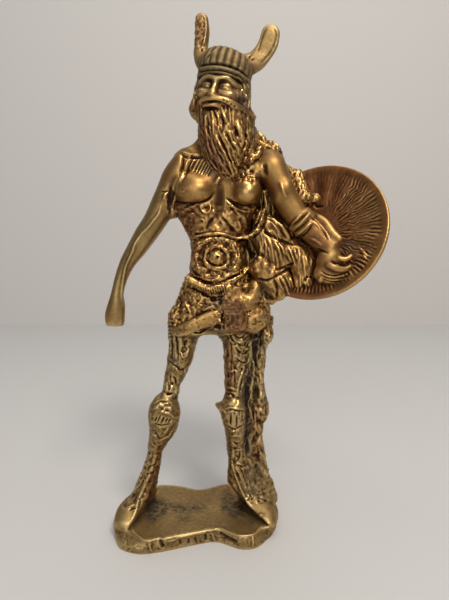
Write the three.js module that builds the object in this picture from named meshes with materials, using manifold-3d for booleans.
// A cast brass statuette of a bearded viking: horned helmet, bare chest, round buckle, hide kilt and
// leggings, a shaggy pelt down the back, and a round shield held on the left arm.
// Millimetres, +Z up. The figure faces -Y. The origin is the middle of the base's flat underside.
import * as THREE from "three";
import { mergeVertices } from "three/addons/utils/BufferGeometryUtils.js";
import Module from "manifold-3d";

const wasm = await Module();
wasm.setup();

// Driving dimensions
const BASE_HEIGHT = 7;
const BASE_BEVEL = 1.2;
const BASE_DISH = 0.5;
const BASE_OUTLINE = [
  [-42, 0], [-40, -11], [-35.8, -20], [-26, -24.4], [-16, -22.8], [-4, -19], [8, -15.6],
  [14, -16.6], [22.5, -20.8], [30.5, -19.4], [37.4, -11], [42, -1], [44, 10], [40, 20],
  [28, 28.4], [14, 28.4], [1, 22.8], [-11, 26.4], [-22, 27.6], [-33, 22], [-40.5, 11],
];
const BUCKLE_CENTRE = [11, -10.6, 139];
const BUCKLE_RADIUS = 11.4;
const BUCKLE_LUMPS = 12;
const HEAD_CENTRE = [13.6, -3.5, 214];
const HEAD_TURN = -15;
const HEAD_TILT = 10;
const HEAD_HALF = [9.8, 11.6, 14];
const HELMET_FLUTES = 14;
const SHIELD_CENTRE = [59.4, 0, 150.5];
const SHIELD_RADIUS = 33.9;
const SHIELD_DISH = 4.2;
const SHIELD_WALL = 1.6;
const SHIELD_TILT = 37.6;
const SHIELD_SLANT = 55;
const SHIELD_RAYS = 16;
const FINGERS = 2;

const BRASS = new THREE.MeshStandardMaterial({
  name: "brass",
  color: 0xb08a45,
  metalness: 1,
  roughness: 0.32,
});

const FRONT = -Math.PI / 2;
const radians = THREE.MathUtils.degToRad;
const bump = (x, middle, width) => Math.exp(-(((x - middle) / width) ** 2));
const joined = (solids) => solids.reduce((all, next) => all.add(next));

// A closed geometry as a manifold-3d solid.
function solid(geometry) {
  const bare = new THREE.BufferGeometry();
  bare.setAttribute("position", geometry.attributes.position);
  bare.setIndex(geometry.index);
  const merged = mergeVertices(bare, 1e-4);
  return new wasm.Manifold(
    new wasm.Mesh({
      numProp: 3,
      vertProperties: new Float32Array(merged.attributes.position.array),
      triVerts: new Uint32Array(merged.index.array),
    }),
  );
}

// The three.js geometry of a finished solid.
function geometryOf(manifold) {
  const { vertProperties, triVerts } = manifold.getMesh();
  const geometry = new THREE.BufferGeometry();
  geometry.setAttribute("position", new THREE.BufferAttribute(vertProperties, 3));
  geometry.setIndex(new THREE.BufferAttribute(triVerts, 1));
  geometry.computeVertexNormals();
  return geometry;
}

// Faces for rings of `sides` points, closed at both ends by a pole: the last two points.
function ringFaces(count, sides) {
  const [first, last] = [count * sides, count * sides + 1];
  const index = [];
  for (let i = 0; i < sides; i++) {
    const next = (i + 1) % sides;
    index.push(first, next, i);
    index.push(last, (count - 1) * sides + i, (count - 1) * sides + next);
    for (let ring = 0; ring < count - 1; ring++) {
      const [a, b] = [ring * sides + i, ring * sides + next];
      index.push(a, b, b + sides, a, b + sides, a + sides);
    }
  }
  return index;
}

// A smooth closed limb. Each station is [x, y, z, half width, half depth], with oval sections in
// between. `across` is the direction that the half width lies along, `crowd` packs more points
// towards the front and `square` above 2 flattens the oval.
// `carve(along, angle, z)` pushes the skin out by millimetres: `along` runs from 0 to 1, and the
// angle is 0 at +across and FRONT at the front of an upright limb.
function limb(stations, options = {}) {
  const {
    sides = 12, rings = 8, across = [1, 0, 0], square = 2, crowd = 0, dome = 0.6, carve = () => 0,
  } = options;
  // built upwards, so that its depth always points back
  const falls = stations[0][2] > stations.at(-1)[2];
  const rows = falls ? stations.toReversed() : stations;
  const curve = (points) => new THREE.CatmullRomCurve3(points, false, "catmullrom", 0.5);
  const line = curve(rows.map(([x, y, z]) => new THREE.Vector3(x, y, z)));
  const sizes = curve(rows.map((row) => new THREE.Vector3(row[3], row[4], 0)));
  const reference = new THREE.Vector3(...across);
  const positions = [];
  const addRing = (along, lift, shrink) => {
    const centre = line.getPoint(along);
    const half = sizes.getPoint(along);
    const tangent = line.getTangent(along);
    const side = reference.clone().addScaledVector(tangent, -reference.dot(tangent)).normalize();
    const depth = tangent.clone().cross(side);
    centre.addScaledVector(tangent, lift);
    for (let i = 0; i < sides; i++) {
      const even = (2 * Math.PI * i) / sides;
      const angle = even - crowd * Math.cos(even);
      const [c, s] = [Math.cos(angle), Math.sin(angle)];
      const round = (Math.abs(c) ** square + Math.abs(s) ** square) ** (-1 / square);
      const turned = angle > Math.PI ? angle - 2 * Math.PI : angle;
      const out = carve(falls ? 1 - along : along, turned, centre.z);
      const point = centre.clone();
      point.addScaledVector(side, shrink * c * (round * half.x + out));
      point.addScaledVector(depth, shrink * s * (round * half.y + out));
      positions.push(point.x, point.y, point.z);
    }
  };
  const domeAt = (end) => {
    const half = sizes.getPoint(end);
    return (end === 0 ? -dome : dome) * Math.min(half.x, half.y);
  };
  const shoulder = 0.9;
  addRing(0, domeAt(0) * Math.sin(shoulder), Math.cos(shoulder));
  for (let i = 0; i <= rings; i++) addRing(i / rings, 0, 1);
  addRing(1, domeAt(1) * Math.sin(shoulder), Math.cos(shoulder));
  for (const end of [0, 1]) {
    const pole = line.getPoint(end).addScaledVector(line.getTangent(end), domeAt(end));
    positions.push(pole.x, pole.y, pole.z);
  }
  const geometry = new THREE.BufferGeometry();
  geometry.setAttribute("position", new THREE.Float32BufferAttribute(positions, 3));
  geometry.setIndex(ringFaces(rings + 3, sides));
  return solid(geometry);
}

// An ellipsoid with half axes [x, y, z], turned by degrees about X, Y and Z.
function lump(centre, half, turn = [0, 0, 0], detail = 8) {
  const geometry = new THREE.SphereGeometry(1, detail + 2, detail);
  geometry.scale(...half);
  const matrix = new THREE.Matrix4().makeRotationFromEuler(new THREE.Euler(...turn.map(radians)));
  geometry.applyMatrix4(matrix.setPosition(...centre));
  return solid(geometry);
}

// Base: a waisted slab with a flat underside and a shallow dish in its top.
function base() {
  const outline = new THREE.SplineCurve(
    [...BASE_OUTLINE, BASE_OUTLINE[0]].map(([x, y]) => new THREE.Vector2(x, y)));
  const shape = new THREE.Shape(outline.getPoints(36).slice(0, -1));
  const slab = new THREE.ExtrudeGeometry(shape, {
    depth: BASE_HEIGHT,
    bevelThickness: BASE_BEVEL,
    bevelSize: BASE_BEVEL,
    bevelOffset: -BASE_BEVEL,
    bevelSegments: 1,
  });
  const below = new THREE.BoxGeometry(200, 200, 20).translate(0, 0, -10);
  const dish = lump([-2, 2, BASE_HEIGHT + BASE_DISH], [36, 19, 2 * BASE_DISH], [0, 0, 0], 8);
  return solid(slab.translate(0, 0, -BASE_BEVEL)).subtract(solid(below)).subtract(dish);
}

// Each foot runs from the ankle out to the base's corner.
function feet() {
  const shape = { sides: 9, rings: 5 };
  const right = limb([
    [-24, 9, 9, 5.5, 6], [-27.6, 2, 10.6, 7, 6.6], [-32.8, -5, 9.2, 7.6, 6], [-35, -12, 6, 6, 4.8],
  ], shape);
  const left = limb([
    [25, 9, 9, 7.5, 7.5], [30, 1, 9.4, 8, 7], [34.4, -5, 7.2, 7, 5.6], [35.4, -10.4, 5, 5, 4],
  ], shape);
  return [right, left];
}

// The room over the base's floor between the feet, which end towards it in a slanted plane each:
// half width at the floor's middle, widening by `turn` a millimetre to the front and shrinking by
// `lean` a millimetre upwards.
function floorSide(side, half, turn, lean) {
  const [front, back, rise] = [-24, 20, 20];
  const geometry = new THREE.BoxGeometry(2, 2, 2);
  const place = geometry.attributes.position;
  for (let i = 0; i < place.count; i++) {
    const y = place.getY(i) < 0 ? front : back;
    const up = place.getZ(i) < 0 ? 0 : rise;
    const far = place.getX(i) * side > 0;
    place.setXYZ(i, far ? side * (half - turn * y - lean * up) : 0, y, BASE_HEIGHT + up);
  }
  return solid(geometry);
}

const floorRoom = () => [floorSide(-1, 27.4, 0.32, 0.38), floorSide(1, 29.5, 0.56, 0.8)];

// Legs, with hide leggings bound by crossed straps and a cuff below each knee.

const STRAP_TURNS = 3;
function legging(along, angle) {
  const turn = 2 * Math.PI * STRAP_TURNS * along;
  return 1.2 * Math.abs(Math.sin(turn + angle) * Math.sin(turn - angle)) - 0.5;
}

function legs() {
  const shape = { sides: 9, rings: 12, carve: legging };
  const right = limb([
    [-4.2, 0, 108, 8.5, 8.5], [-6, 0, 97, 6.9, 7.5], [-8.4, -0.5, 86, 6, 6.5],
    [-11.4, -1, 77, 4.4, 5.5], [-13, -2, 69, 4.3, 5.2], [-15.6, -2, 60, 5, 5.5],
    [-18.4, -1, 52, 4.6, 5.5], [-20.6, 1, 43, 3.8, 4.8], [-22.4, 2.5, 34, 3.9, 4.6],
    [-24.6, 3.5, 25, 4.5, 5.2], [-26.4, 3, 16, 6, 7], [-27, 2, 8, 7, 8],
  ], shape);
  const left = limb([
    [20, 0, 108, 8.5, 8.5], [20.2, 0, 97, 6.4, 7.5], [20, -0.5, 86, 5.6, 6.5],
    [19.8, -1, 76, 5, 5.8], [19.4, -2, 66, 4.8, 5.6], [19.8, -1.5, 54, 4.6, 5.6],
    [20.4, 1, 43, 4.8, 5], [20.8, 2.5, 32, 5, 4.8], [21.6, 3.5, 22, 6.8, 5.6],
    [25, 3, 13, 8.6, 7], [27, 2, 7, 8, 8],
  ], shape);
  // the hide between the left leg and the pelt, in a shallow valley
  const web = limb([
    [28, 3.4, 104, 5, 6], [27.6, 3.2, 90, 4.4, 5.6], [25.8, 3, 76, 4.2, 5.4], [25.2, 3.2, 50, 4.2, 5.2],
    [25.6, 4, 32, 5, 5], [28, 4, 16, 7, 6],
  ], { sides: 6, rings: 4 });
  return [right, left, web];
}

const CUFF_SLOTS = 6;
const cuffSlots = (along, angle) =>
  -1.1 * bump(along, 0.55, 0.2) * Math.cos(CUFF_SLOTS * (angle - FRONT)) * Math.max(0, -Math.sin(angle));

function kneeCuffs() {
  const shape = { sides: 16, rings: 4, crowd: 0.6, carve: cuffSlots };
  const right = limb([
    [-13.3, -3, 70.5, 3.8, 5], [-14.7, -3.6, 65.5, 7.2, 6.8], [-15.6, -3.8, 60.5, 8, 7.2],
    [-16.2, -3, 54.5, 7, 6.4], [-18.2, -1.6, 48.5, 5.2, 5.4], [-20.2, 0, 43, 4.2, 4.6],
  ], shape);
  const left = limb([
    [19.8, -2.5, 68.6, 4.6, 5], [18.8, -3.8, 65, 6.2, 6.6], [18.8, -3.8, 60.6, 6, 6.4],
    [19.8, -3, 54, 5.2, 6], [20, -1, 47, 4.6, 5],
  ], shape);
  const corner = limb([
    [21.8, -7, 67.2, 3, 3.2], [15, -5.4, 66, 3, 3.4], [11, -3.6, 66.5, 0.8, 1.8],
  ], { sides: 6, rings: 2, across: [0, 0, 1] });
  return [right, left, corner];
}

// Kilt: a hide skirt that widens to a lobed hem, with loose flaps over it.

const KILT_FOLDS = 5;
function kilt() {
  const folds = (along, angle) =>
    (1 - along) * (1.1 * Math.cos(KILT_FOLDS * angle + 0.6) + 0.5 * Math.cos(9 * angle + 9 * along));
  const skirt = limb([
    [12.8, 0.6, 103.4, 24.8, 12.2], [12.4, 0.5, 107.4, 25.4, 12.8], [12, 0.4, 114, 23.4, 12.4],
    [11.5, 0.3, 122, 19.5, 11.6], [11.3, 0, 130, 15.2, 10.6],
  ], { sides: 22, rings: 4, dome: 0.06, crowd: 0.4, carve: folds });
  const flap = { sides: 7, rings: 3 };
  const band = { ...flap, across: [0, 0, 1] };
  return [
    skirt,
    limb([[17.6, -9.6, 124, 5, 2.6], [18.4, -10.8, 116, 6, 3], [18.6, -11.4, 106.4, 6, 2.8]], flap),
    limb([
      [-8.4, -7, 104.3, 2.6, 2.4], [-5, -10.6, 104.8, 3, 2.4], [3.6, -12, 108.9, 3.2, 2.4],
      [12.1, -11, 111.8, 3, 2],
    ], { ...band, rings: 5 }),
    limb([[-3, -9.6, 129.6, 1.6, 2], [7, -12.2, 124.6, 1.8, 2.2], [17, -11.4, 125.6, 1.6, 2]], band),
    lump([24.7, -9.6, 117.8], [4.8, 2.8, 4], [0, -24, 0], 5),
    lump([28.8, -8.6, 109.4], [5.4, 3.2, 6.6], [0, 14, 0], 6),
    limb([[33, -2, 123, 3, 4.6], [33.2, -2.4, 113, 2.8, 5], [33.8, -2, 106, 3.2, 5]], { ...flap, rings: 2 }),
    lump([35.3, -3, 101.2], [3, 4.6, 5], [0, 8, 0], 5),
  ];
}

// Trunk with ribs, pectorals, belt lines and a strap up the left side.

function torso() {
  const relief = (along, angle, z) => {
    const front = Math.max(0, -Math.sin(angle));
    const furrow = -1.3 * bump(angle, FRONT + 0.05, 0.2) * bump(z, 165, 8);
    const arch = -0.9 * front * bump(z, 156 - 9 * Math.abs(angle - FRONT), 2);
    return furrow + arch;
  };
  const trunk = limb([
    [11.2, 0.5, 118, 15.2, 10], [11.6, 0, 132, 14.1, 9.8], [11.7, 0, 145, 13.4, 9.6],
    [11.2, 0, 155, 16.4, 10], [10.8, 0, 163, 20.4, 10.6], [11.2, 0, 171, 20.6, 11],
    [12.4, 0.3, 181, 20.2, 10.2],
    [14, 1, 188.5, 16, 8.4], [14.8, 0.5, 195, 10.5, 7.6], [15.4, 0.4, 210, 9.4, 7.6],
  ], { sides: 17, rings: 13, crowd: 0.4, carve: relief });
  const chest = [
    lump([0.4, -6, 171], [9.8, 7.4, 7.8], [0, 6, -8], 6),
    lump([24.8, -6.6, 169.6], [7, 7.4, 7.6], [0, -4, 12], 6),
  ];
  const shoulder = limb([[8, 1, 194.4, 6.4, 6.4], [1.4, 1.4, 188.4, 5.2, 6.6], [-5, 1.4, 184, 5.4, 7]], {
    sides: 8, rings: 2,
  });
  const seam = (points) => limb(points.map(([x, y, z]) => [x, y, z, 1.1, 0.9]), {
    sides: 4, rings: 4, across: [0, 0, 1],
  });
  const seams = [
    seam([[-3, -3, 147], [2, -8.6, 148.6], [11, -10.4, 149.8], [20, -8.6, 148], [25.6, -2, 149]]),
    seam([[-3.6, -3, 133], [2, -8.8, 129.6], [11, -10.8, 127.8], [20, -9.4, 129.8], [27, -3, 134.6]]),
    seam([[-1, -8.6, 185], [-2.6, -8.6, 180.6], [-5.8, -8.4, 175], [-8.6, -6.6, 170], [-9.6, -4, 163]]),
    seam([[19, -9.4, 147.6], [26.6, -7, 149.6], [31.6, -4.4, 155], [34.6, -3.4, 162], [33, -5, 170]]),
  ];
  return [trunk, ...chest, shoulder, ...seams];
}

// A round boss on the belly: dome, ring and lumpy edge.
function buckle() {
  const profile = [
    [0, 3.2], [2, 2.7], [3.6, 1.2], [4.6, 2.1], [6, 1.9], [7, 0.6], [9.4, 1],
    [BUCKLE_RADIUS, -0.4], [BUCKLE_RADIUS, -4], [0, -4],
  ].map(([r, out]) => new THREE.Vector2(r, -out));
  const geometry = new THREE.LatheGeometry(profile, 2 * BUCKLE_LUMPS);
  const place = geometry.attributes.position;
  for (let i = 0; i < place.count; i++) {
    const [x, z] = [place.getX(i), place.getZ(i)];
    const lumps = Math.cos(BUCKLE_LUMPS * Math.atan2(z, x)) * bump(Math.hypot(x, z), 9.4, 1.2);
    place.setY(i, place.getY(i) - 0.5 * lumps);
  }
  return solid(geometry.translate(...BUCKLE_CENTRE));
}

// Arms

// The right arm hangs free and ends in a blunt fist, with one long ridge down its front.
function rightArm() {
  const ridge = (along, angle) => 0.8 * bump(angle, FRONT + 0.1, 0.4) * bump(along, 0.66, 0.3);
  return limb([
    [-0.4, 1, 187, 4.2, 6], [-5, 1, 181.6, 6.5, 7.6], [-8.4, 1, 176.4, 7, 7.8],
    [-11.8, 1, 170, 6.4, 7], [-15.7, 1, 162.5, 6, 6.6], [-19.4, 1, 156, 5.5, 6],
    [-23.6, 1, 150, 5.3, 5.4], [-27.8, 0.5, 143.6, 4.7, 4.6], [-32.6, 0, 136.4, 3.7, 3.7],
    [-35.8, -0.5, 129, 3.1, 3.2], [-37.8, -1, 121.5, 3, 3.2], [-38.4, -1, 116, 4.2, 3.6],
    [-39.3, -1, 110.5, 4.9, 3.7], [-39.4, -1, 105.8, 4.5, 3.3],
  ], { sides: 10, rings: 14, dome: 0.2, carve: ridge });
}

function leftArm() {
  const shape = { sides: 10, rings: 5 };
  return [
    limb([
      [35, -0.6, 183.4, 6.4, 6.8], [36.8, -2, 180.4, 7, 8], [39.4, -3.4, 174.6, 6.4, 7.4],
      [44.6, -5.4, 164, 5.9, 6.4], [48, -6.4, 159, 5.5, 5.6],
    ], { ...shape, dome: 0.9 }),
    // a cuff band and a sleeve down to the wrist
    limb([[49.6, -6.6, 157, 6.8, 5.6], [52.4, -7.4, 154.6, 6.8, 5.6]], { ...shape, rings: 1, dome: 0.3 }),
    limb([[52, -7.4, 155, 5.8, 5], [57, -9.8, 150, 6, 4.8], [63.4, -14, 143.6, 4.8, 4.2]], {
      ...shape, rings: 3,
    }),
  ];
}

// A fist on the shield's grip: back of the hand, curled fingers, the thumb over them and the rolled
// upper edge of the sleeve.
function leftHand() {
  const hand = [
    lump([62, -14.6, 138.5], [5.2, 4.8, 6.6], [0, 30, 0], 5),
    lump([63.1, -15.4, 132.7], [7.6, 3.2, 5.2], [0, -10, 0], 5),
  ];
  const slim = { sides: 6, rings: 3, across: [0, 0, 1] };
  const curl = [[-6.8, -0.6], [-2.6, -4.6], [2.4, -4.8], [7, -1.4]];
  const fingers = Array.from({ length: FINGERS }, (unused, i) => limb(
    curl.map(([x, z]) => [62.4 + x * (1 - 0.3 * i), -17 - 0.8 * i, 133.4 + z * (1 - 0.3 * i), 1, 1.4]),
    { ...slim, sides: 5 },
  ));
  const thumb = limb([
    [60.7, -18.2, 136, 1.2, 1.4], [62.9, -19.4, 135.3, 1.7, 1.8], [65.7, -19.2, 134.4, 1.6, 1.7],
    [68.6, -18.4, 134.4, 1.3, 1.4], [71.1, -17.4, 135.8, 0.8, 1],
  ], slim);
  const tip = limb([
    [65.2, -17, 139.3, 1.4, 1.6], [69, -18, 138.8, 1.2, 1.4], [73.6, -17, 141.7, 0.8, 1],
  ], slim);
  const edge = limb([[55.5, -6, 159, 1.6, 1.8], [60.6, -9, 155.5, 2, 2], [67, -14, 147.2, 1.6, 1.6]], slim);
  return [...hand, ...fingers, thumb, tip, edge];
}

// Shield: a dished disc seen from its hollow side, with rays cut on both faces and a boss outside.
function shield() {
  const hollow = [[0, 0], [0.35, 0.1], [0.62, 0.34], [0.88, 0.78], [0.95, 1], [1, 1]];
  const outside = [[1, 0.4], [0.62, -0.22], [0.3, -0.5], [0.24, -0.95], [0, -1.3]];
  const profile = [...hollow, ...outside].reverse().map(([r, rise], i) => {
    const wall = i < outside.length ? 0.2 * SHIELD_WALL : 0;
    return new THREE.Vector2(r * SHIELD_RADIUS, rise * SHIELD_DISH - wall);
  });
  const geometry = new THREE.LatheGeometry(profile, SHIELD_RAYS * 2);
  const place = geometry.attributes.position;
  for (let i = 0; i < place.count; i++) {
    const [x, z] = [place.getX(i), place.getZ(i)];
    const rays = Math.cos(SHIELD_RAYS * Math.atan2(z, x));
    place.setY(i, place.getY(i) + 0.4 * rays * bump(Math.hypot(x, z) / SHIELD_RADIUS, 0.7, 0.2));
  }
  geometry.rotateX(Math.PI);
  const slant = new THREE.Vector3(Math.cos(radians(SHIELD_SLANT)), 0, Math.sin(radians(SHIELD_SLANT)));
  geometry.applyMatrix4(new THREE.Matrix4().makeRotationAxis(slant, radians(-SHIELD_TILT)));
  return solid(geometry.translate(...SHIELD_CENTRE));
}

// Pelt: a shaggy hide over the left shoulder, down the back and behind the left leg to the base.

const TUFTS = 5;
const shaggy = (along, angle) =>
  0.9 * Math.cos(TUFTS * angle + 3 * Math.sin(9 * along)) + 0.8 * Math.cos(26 * along + 2 * angle);

function pelt() {
  const back = limb([
    [21, 8, 197, 10, 3.4], [22, 9.5, 188, 18, 4.4], [24, 10.5, 176, 20, 4.6], [25, 11, 160, 20, 4.8],
    [26, 11, 140, 18, 5], [25.9, 11, 120, 13.2, 5.2], [27.6, 8.8, 100, 9, 5.8], [29, 7.6, 80, 6.1, 5.8],
    [30, 6.8, 66, 6, 5.6], [30.6, 6.8, 59, 6, 5.6], [28.6, 6.8, 52, 5.4, 5.6], [29.4, 6.4, 40, 6, 6],
    [30.6, 6, 26, 6.8, 6.8], [33, 6, 12, 8.4, 8.5],
  ], { sides: 12, rings: 17, square: 2.6, crowd: -0.3, carve: shaggy });
  const collar = limb([
    [0, 2, 189, 2.6, 3], [7, 5, 194, 3.2, 3.4], [22, 6, 195.4, 3.4, 3.6], [31, 3, 192.2, 2.6, 3.4],
    [38.2, 1.5, 189.4, 2.6, 3.6], [40.4, 2.5, 184.4, 2, 4.2],
  ], { sides: 6, rings: 8, across: [0, 0, 1], carve: shaggy });
  const lapel = limb([
    [24.8, 1, 206, 3.2, 5], [25.4, 0.4, 200, 3.8, 6], [26, -1, 194.2, 4.4, 6.6], [24.6, -5.6, 183, 4, 4.6],
  ], { sides: 6, rings: 4 });
  const knob = lump([58, -1, 166.8], [2.6, 3, 2.8], [0, 20, 0], 4);
  // the hide from the upper arm to the shield, in two layers, then four overlapping tongues at the hip
  const tongues = [
    [[46, 5, 178.5, 2.8, 4], [49, 4.6, 177, 3.6, 4.4], [50, 3, 173, 4.4, 5], [53.2, -1, 164.4, 4, 6]],
    [
      [40, 4, 183, 3, 4], [44.6, 6, 176, 6.6, 6.5], [47.4, 6.5, 168.6, 6, 8], [46.4, 4.5, 158, 6.6, 9.5],
      [45, 3, 148, 7, 7], [44, 0, 140, 6, 5],
    ],
    [[31, -2, 158, 4, 4], [38, -4.4, 153, 4.4, 3.4], [44, -5, 147, 2.4, 2.2]],
    [[31, -2, 150, 5, 5.5], [38, -3, 143, 8, 6], [44.4, -4, 136.6, 6, 4.4]],
    [[31, -3, 136, 6, 5.4], [38.6, -4, 129, 8, 5.6], [44.6, -4.6, 122.4, 6.4, 2.8]],
    [[45, -4, 144, 6, 4], [51.8, -5.6, 136.4, 6.6, 4.8], [52.6, -8, 126.4, 4.6, 3.8]],
  ].map((stations) => limb(stations, {
    sides: 8, rings: stations.length, carve: (along, angle) => 0.5 * Math.cos(TUFTS * angle),
  }));
  return [back, collar, lapel, knob, ...tongues];
}

// Head. Its parts are laid out upright, facing -Y, with the middle of the skull at the origin, and
// the face follows the usual rule of thirds below the helmet.

const EYE_LINE = 0;
const BROW_LINE = HEAD_HALF[2] / 9;
const NOSE_LINE = -HEAD_HALF[2] * 0.46;
const EYE_SPREAD = HEAD_HALF[0] * 0.42;

function face() {
  const [halfWidth, halfDepth] = HEAD_HALF;
  const small = [0, 0, 0];
  const sides = [-1, 1].flatMap((side) => [
    lump([side * EYE_SPREAD, 1.1 - halfDepth, EYE_LINE], [1.9, 1.4, 1.1], small, 4),
    lump([side * 0.52 * halfWidth, 3 - halfDepth, NOSE_LINE + 2.4], [2.8, 2.4, 2.6], small, 4),
  ]);
  const brow = limb([
    [-8.4, -6.6, BROW_LINE - 0.3, 1.2, 1.5], [-4, -10.8, BROW_LINE + 0.9, 1.2, 1.6],
    [0, -11.9, BROW_LINE + 0.4, 1, 1.4], [4, -10.8, BROW_LINE + 0.9, 1.2, 1.6],
    [8.4, -6.6, BROW_LINE - 0.3, 1.2, 1.5],
  ], { sides: 5, rings: 6, across: [0, 0, 1] });
  const nose = limb([
    [0, -11, BROW_LINE, 1.2, 1], [0, -12.6, EYE_LINE - 2.6, 1.5, 1.4], [0, -13.6, NOSE_LINE + 1, 2, 1.7],
  ], { sides: 6, rings: 3 });
  return [lump([0, 0, 0], HEAD_HALF, small, 8), ...sides, brow, nose];
}

function helmet() {
  const flutes = (along, angle) =>
    0.45 * Math.cos(HELMET_FLUTES * (angle - FRONT)) * (along > 0.1 && along < 0.95 ? 1 : 0);
  const shell = limb([
    [-0.6, 0.6, 5, 11.6, 13.2], [-0.6, 0.8, 8, 11.9, 13.2], [-0.6, 1, 11.6, 12.1, 12.6],
    [-0.5, 1.2, 14.4, 11, 10.8], [-0.4, 1.4, 16, 9, 8.4],
  ], { sides: 2 * HELMET_FLUTES, rings: 3, dome: 0.2, carve: flutes });
  const rim = limb([[-0.4, 0.6, 4.2, 12.2, 13.8], [-0.4, 0.6, 6, 12.2, 13.8]], {
    sides: 18, rings: 1, dome: 0.05,
  });
  return [shell, rim];
}

const lockWaves = (along, angle) =>
  (1.1 * Math.cos(8 * angle + 6 * along) + 0.6 * Math.cos(5 * angle - 12 * along)) * (0.5 + 0.5 * along);

const hair = () => limb([
  [-0.5, 2.4, 6, 11.8, 9.6], [-0.3, 2.2, 0, 12.6, 9.8], [0, 2, -6, 13.2, 9.6], [-0.4, 2.2, -10, 13.4, 9],
  [2, 3, -13, 10, 7.6], [2, 5, -21, 9, 5],
], { sides: 14, rings: 6, square: 3, dome: 0.3, carve: (along, angle) => 0.5 * lockWaves(along, angle) });

// A thick roll from cheek to cheek.
const moustache = () => limb([
  [4.5, -12.4, 206.5, 0.8, 1.2], [8.5, -16, 207.7, 1.3, 1.8], [12.2, -16.6, 207.3, 1.6, 2],
  [16.3, -15.8, 206.2, 1.8, 2.2], [20.2, -13.6, 204.5, 1.9, 2.2], [24.1, -10.4, 202.9, 1.9, 2.2],
  [27.6, -6, 202.6, 1.6, 1.8],
], { sides: 7, rings: 8, across: [0, 0, 1] });

// A horn is a flat curved blade with a round tip.
const horn = (stations) => limb(stations, { sides: 8, rings: 5, square: 2.4, dome: 2.4 });

function head() {
  const pose = new THREE.Matrix4().makeRotationFromEuler(
    new THREE.Euler(0, radians(HEAD_TILT), radians(HEAD_TURN), "YZX"));
  pose.setPosition(...HEAD_CENTRE);
  const upright = joined([...face(), ...helmet(), hair()]);
  return [
    upright.transform(pose.toArray()),
    moustache(),
    horn([
      [5.6, 0, 226, 2.8, 3], [3.7, 0.4, 231.2, 3.1, 2.6], [4, 1, 236.8, 3.2, 2.2],
      [4.3, 1.4, 242.2, 3.4, 2], [4.2, 1.5, 246.4, 3.1, 1.8],
    ]),
    horn([
      [23.4, 0, 227, 5.4, 3], [28.4, 0.4, 229.2, 4.8, 2.6], [32.3, 1, 233, 4.5, 2.2],
      [34.8, 1.4, 237.4, 4.6, 2], [35.9, 1.5, 241.6, 4.4, 1.8],
    ]),
  ];
}

// The beard hangs from the cheeks to a point on the chest, its locks sweeping to the left.
function beard() {
  return limb([
    [13.8, -6.4, 208.4, 11.8, 8.6], [15, -6.6, 202, 12.6, 9.4], [15, -6.8, 194, 12.6, 9.2],
    [15, -7.6, 187, 10.6, 7.8], [16.6, -8.8, 180.6, 6.6, 5.6], [18.8, -9.8, 176.6, 2.6, 3.2],
  ], { sides: 18, rings: 8, crowd: 0.4, carve: lockWaves });
}

// The open bay between the shoulder and the corner of the jaw.
const bay = () => lump([-3.8, 2, 198.1], [6.9, 26, 7.9], [0, 0, 0], 8);

const standing = joined([
  base(), ...feet(), ...legs(), ...kneeCuffs(), ...kilt(), ...torso(), buckle(),
  rightArm(), ...leftArm(), ...leftHand(), shield(), ...pelt(), ...head(), beard(),
]);
const statuette = [...floorRoom(), bay()].reduce((rest, room) => rest.subtract(room), standing);

const mesh = new THREE.Mesh(geometryOf(statuette), BRASS);
mesh.name = "viking_statuette";
const group = new THREE.Group();
group.add(mesh);

export default group;
